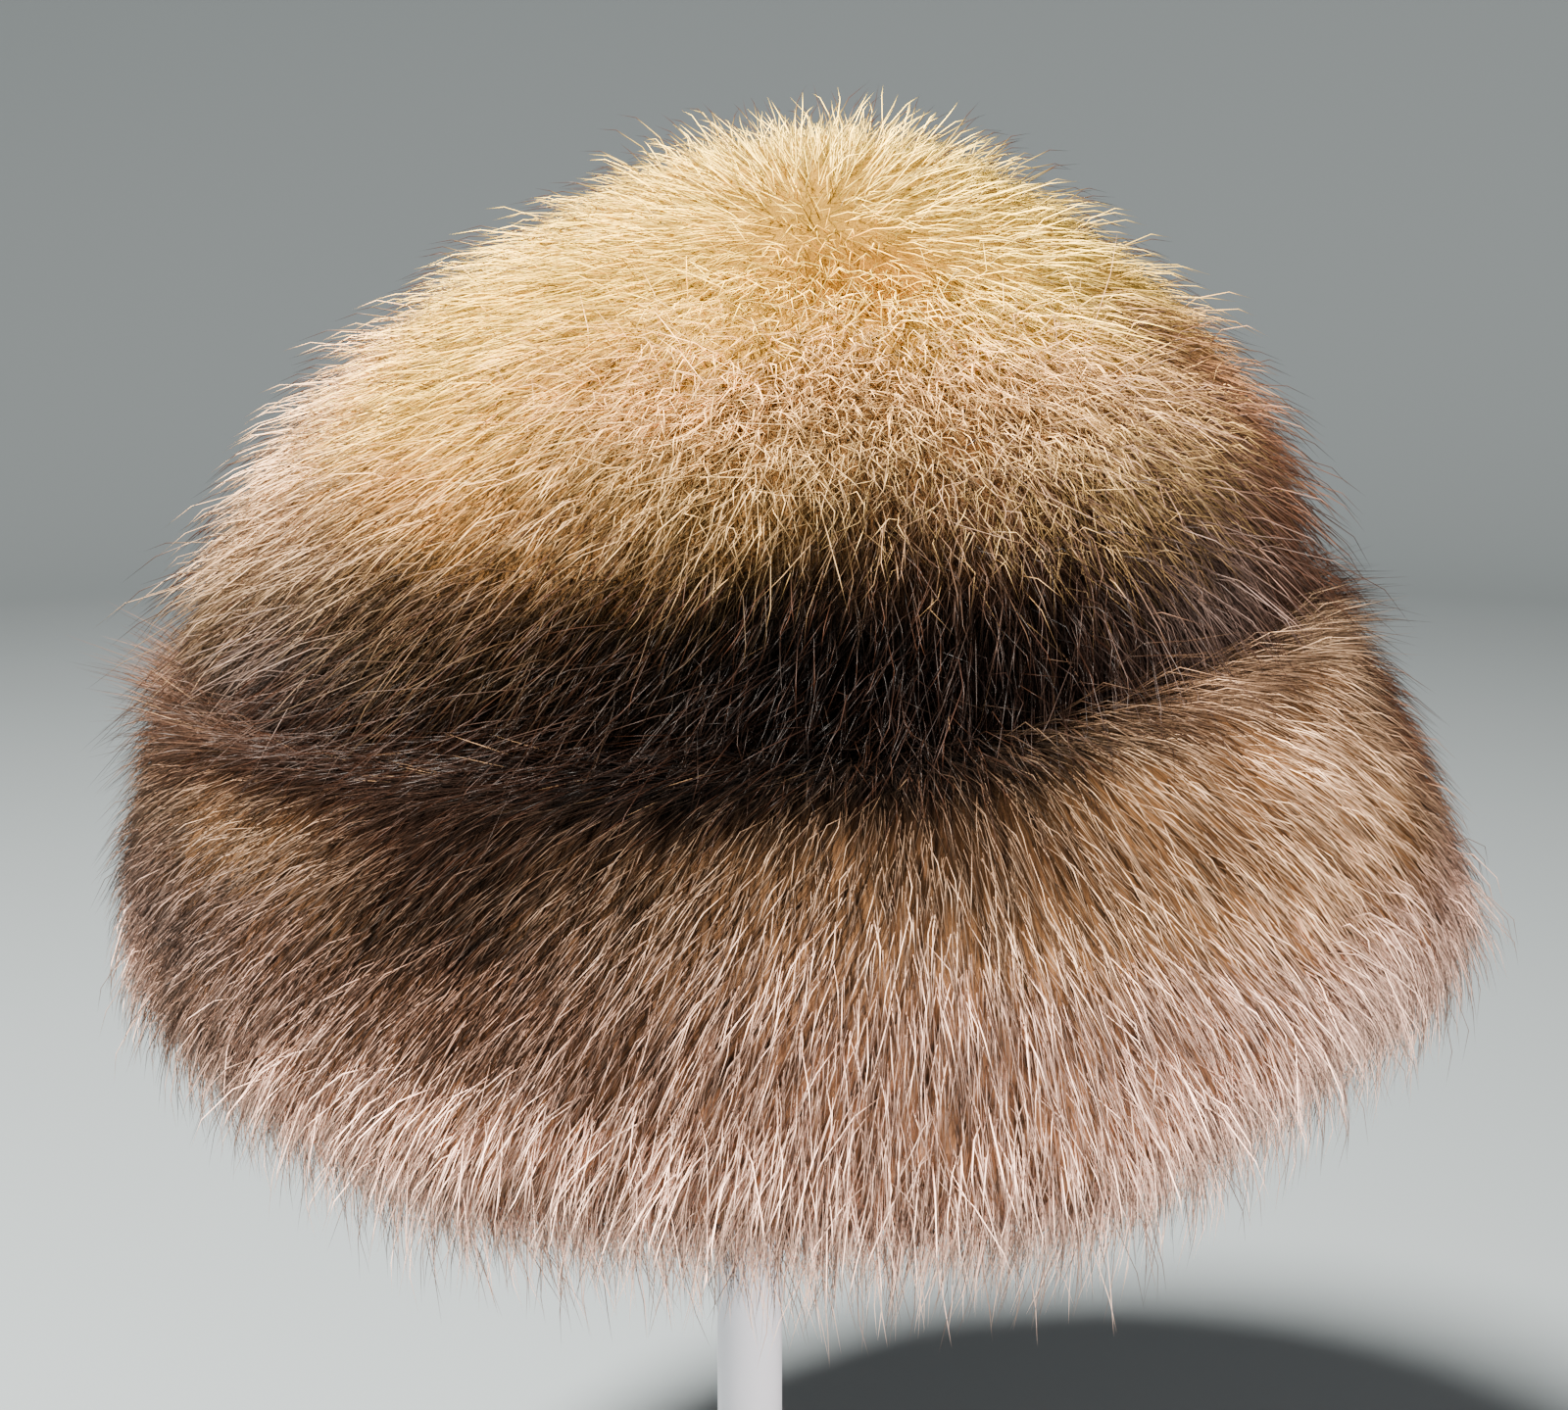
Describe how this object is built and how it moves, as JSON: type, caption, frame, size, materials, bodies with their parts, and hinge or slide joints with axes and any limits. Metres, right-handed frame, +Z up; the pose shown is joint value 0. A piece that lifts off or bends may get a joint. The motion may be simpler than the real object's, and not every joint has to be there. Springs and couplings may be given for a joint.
{
  "type": "raccoon fur hat on a plain display stand",
  "caption": "Domed fur hat with a deep crown and a flared fur brim, resting on a plain white post stand with a round foot.",
  "frame": {"origin": "centre of the underside of the stand's foot, on the table", "axes": "+Z up along the stand's post, the hat's front faces -Y, +X is to the right when the front is looked at"},
  "size_m": [0.3249, 0.3153, 0.4119],
  "materials": {
    "crown_fur": "long dense raccoon fur, cream and gold at the top and dark brown at the seam, with a soft sheen",
    "brim_fur": "long dense raccoon fur, tan and rose brown with dark patches and pale hair at the hem",
    "skin": "tanned skin, suede side inwards, matt",
    "white_paint": "smooth white paint, satin"
  },
  "bodies": {
    "root": {"crown_fur": "crown_fur", "crown_skin": "skin", "brim_fur": "brim_fur", "brim_skin": "skin", "stand_cap": "white_paint", "stand_post": "white_paint", "stand_foot": "white_paint"}
  },
  "joints": []
}
